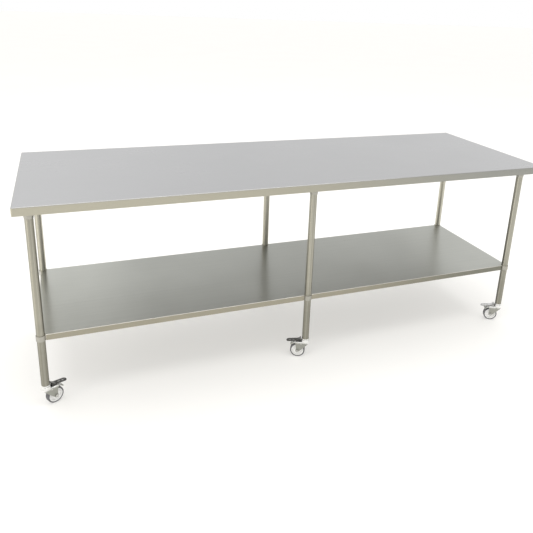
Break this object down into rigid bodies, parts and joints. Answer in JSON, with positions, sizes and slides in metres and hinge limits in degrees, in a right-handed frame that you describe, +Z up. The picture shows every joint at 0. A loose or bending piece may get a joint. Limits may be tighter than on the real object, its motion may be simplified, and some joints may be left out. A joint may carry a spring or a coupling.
{
  "type": "mobile work table",
  "caption": "Long stainless work table with a folded flat top, a folded undershelf on sliding collars, round tube legs and braked swivel castors.",
  "frame": {"origin": "on the floor under the middle of the worktop", "axes": "+X along the table's length, +Y from the front to the back, +Z up"},
  "size_m": [2.4, 0.8, 0.9],
  "materials": {
    "stainless_top": "satin, fine grain along the length",
    "stainless_shelf": "brushed, semi-bright",
    "stainless_frame": "mill finish",
    "stainless_tube": "polished tube, grain round the tube",
    "zinc_plate": "bright zinc plate",
    "wheel_plastic": "satin moulded",
    "tread_rubber": "matt grey elastomer",
    "pedal_steel": "dark plated, worn on the tread",
    "fastener_steel": "bright zinc plate",
    "expander_rubber": "matt black"
  },
  "bodies": {
    "table": {"worktop": "stainless_top", "top_rail_left": "stainless_frame", "top_rail_middle": "stainless_frame", "top_rail_right": "stainless_frame", "top_stiffener_left": "stainless_frame", "top_stiffener_right": "stainless_frame", "leg_sockets": "stainless_frame", "leg_socket_screws": "fastener_steel", "stem_expanders": "expander_rubber", "stem_nuts": "fastener_steel", "swivel_balls": "fastener_steel", "leg_front_left": "stainless_tube", "leg_front_middle": "stainless_tube", "leg_front_right": "stainless_tube", "leg_back_left": "stainless_tube", "leg_back_middle": "stainless_tube", "leg_back_right": "stainless_tube", "stem_front_left": "zinc_plate", "stem_front_middle": "zinc_plate", "stem_front_right": "zinc_plate", "stem_back_left": "zinc_plate", "stem_back_middle": "zinc_plate", "stem_back_right": "zinc_plate"},
    "undershelf": {"undershelf": "stainless_shelf", "shelf_stiffener": "stainless_frame", "shelf_collars": "stainless_frame", "shelf_collar_screws": "fastener_steel"},
    "castor_front_left": {"fork_front_left": "zinc_plate", "axle_front_left": "fastener_steel"},
    "wheel_front_left": {"wheel_front_left": "wheel_plastic", "tread_front_left": "tread_rubber"},
    "pedal_front_left": {"pedal_front_left": "pedal_steel"},
    "castor_front_middle": {"fork_front_middle": "zinc_plate", "axle_front_middle": "fastener_steel"},
    "wheel_front_middle": {"wheel_front_middle": "wheel_plastic", "tread_front_middle": "tread_rubber"},
    "pedal_front_middle": {"pedal_front_middle": "pedal_steel"},
    "castor_front_right": {"fork_front_right": "zinc_plate", "axle_front_right": "fastener_steel"},
    "wheel_front_right": {"wheel_front_right": "wheel_plastic", "tread_front_right": "tread_rubber"},
    "pedal_front_right": {"pedal_front_right": "pedal_steel"},
    "castor_back_left": {"fork_back_left": "zinc_plate", "axle_back_left": "fastener_steel"},
    "wheel_back_left": {"wheel_back_left": "wheel_plastic", "tread_back_left": "tread_rubber"},
    "pedal_back_left": {"pedal_back_left": "pedal_steel"},
    "castor_back_middle": {"fork_back_middle": "zinc_plate", "axle_back_middle": "fastener_steel"},
    "wheel_back_middle": {"wheel_back_middle": "wheel_plastic", "tread_back_middle": "tread_rubber"},
    "pedal_back_middle": {"pedal_back_middle": "pedal_steel"},
    "castor_back_right": {"fork_back_right": "zinc_plate", "axle_back_right": "fastener_steel"},
    "wheel_back_right": {"wheel_back_right": "wheel_plastic", "tread_back_right": "tread_rubber"},
    "pedal_back_right": {"pedal_back_right": "pedal_steel"}
  },
  "joints": [
    {"name": "shelf_height", "type": "slide", "parent": "table", "child": "undershelf", "axis": [0, 0, 1], "range_m": [-0.12, 0.3]},
    {"name": "swivel_front_left", "type": "hinge", "parent": "table", "child": "castor_front_left", "pos_m": [-1.15, -0.304, 0.09], "axis": [0, 0, 1], "continuous": true},
    {"name": "roll_front_left", "type": "hinge", "parent": "castor_front_left", "child": "wheel_front_left", "pos_m": [-1.11969, -0.2865, 0.035], "axis": [-0.5, 0.866, 0], "continuous": true},
    {"name": "brake_front_left", "type": "hinge", "parent": "castor_front_left", "child": "pedal_front_left", "pos_m": [-1.13441, -0.295, 0.0746], "axis": [-0.5, 0.866, 0], "range_deg": [0, 8]},
    {"name": "swivel_front_middle", "type": "hinge", "parent": "table", "child": "castor_front_middle", "pos_m": [0, -0.304, 0.09], "axis": [0, 0, 1], "continuous": true},
    {"name": "roll_front_middle", "type": "hinge", "parent": "castor_front_middle", "child": "wheel_front_middle", "pos_m": [-0.03119, -0.28811, 0.035], "axis": [-0.454, -0.891, 0], "continuous": true},
    {"name": "brake_front_middle", "type": "hinge", "parent": "castor_front_middle", "child": "pedal_front_middle", "pos_m": [-0.01604, -0.29583, 0.0746], "axis": [-0.454, -0.891, 0], "range_deg": [0, 8]},
    {"name": "swivel_front_right", "type": "hinge", "parent": "table", "child": "castor_front_right", "pos_m": [1.15, -0.304, 0.09], "axis": [0, 0, 1], "continuous": true},
    {"name": "roll_front_right", "type": "hinge", "parent": "castor_front_right", "child": "wheel_front_right", "pos_m": [1.11939, -0.28703, 0.035], "axis": [-0.4848, -0.8746, 0], "continuous": true},
    {"name": "brake_front_right", "type": "hinge", "parent": "castor_front_right", "child": "pedal_front_right", "pos_m": [1.13426, -0.29527, 0.0746], "axis": [-0.4848, -0.8746, 0], "range_deg": [0, 8]},
    {"name": "swivel_back_left", "type": "hinge", "parent": "table", "child": "castor_back_left", "pos_m": [-1.15, 0.304, 0.09], "axis": [0, 0, 1], "continuous": true},
    {"name": "roll_back_left", "type": "hinge", "parent": "castor_back_left", "child": "wheel_back_left", "pos_m": [-1.12319, 0.2815, 0.035], "axis": [0.6428, 0.766, 0], "continuous": true},
    {"name": "brake_back_left", "type": "hinge", "parent": "castor_back_left", "child": "pedal_back_left", "pos_m": [-1.13621, 0.29243, 0.0746], "axis": [0.6428, 0.766, 0], "range_deg": [0, 8]},
    {"name": "swivel_back_middle", "type": "hinge", "parent": "table", "child": "castor_back_middle", "pos_m": [0, 0.304, 0.09], "axis": [0, 0, 1], "continuous": true},
    {"name": "roll_back_middle", "type": "hinge", "parent": "castor_back_middle", "child": "wheel_back_middle", "pos_m": [-0.02867, 0.28392, 0.035], "axis": [0.5736, -0.8192, 0], "continuous": true},
    {"name": "brake_back_middle", "type": "hinge", "parent": "castor_back_middle", "child": "pedal_back_middle", "pos_m": [-0.01474, 0.29368, 0.0746], "axis": [0.5736, -0.8192, 0], "range_deg": [0, 8]},
    {"name": "swivel_back_right", "type": "hinge", "parent": "table", "child": "castor_back_right", "pos_m": [1.15, 0.304, 0.09], "axis": [0, 0, 1], "continuous": true},
    {"name": "roll_back_right", "type": "hinge", "parent": "castor_back_right", "child": "wheel_back_right", "pos_m": [1.12993, 0.27533, 0.035], "axis": [0.8192, -0.5736, 0], "continuous": true},
    {"name": "brake_back_right", "type": "hinge", "parent": "castor_back_right", "child": "pedal_back_right", "pos_m": [1.13968, 0.28925, 0.0746], "axis": [0.8192, -0.5736, 0], "range_deg": [0, 8]}
  ]
}
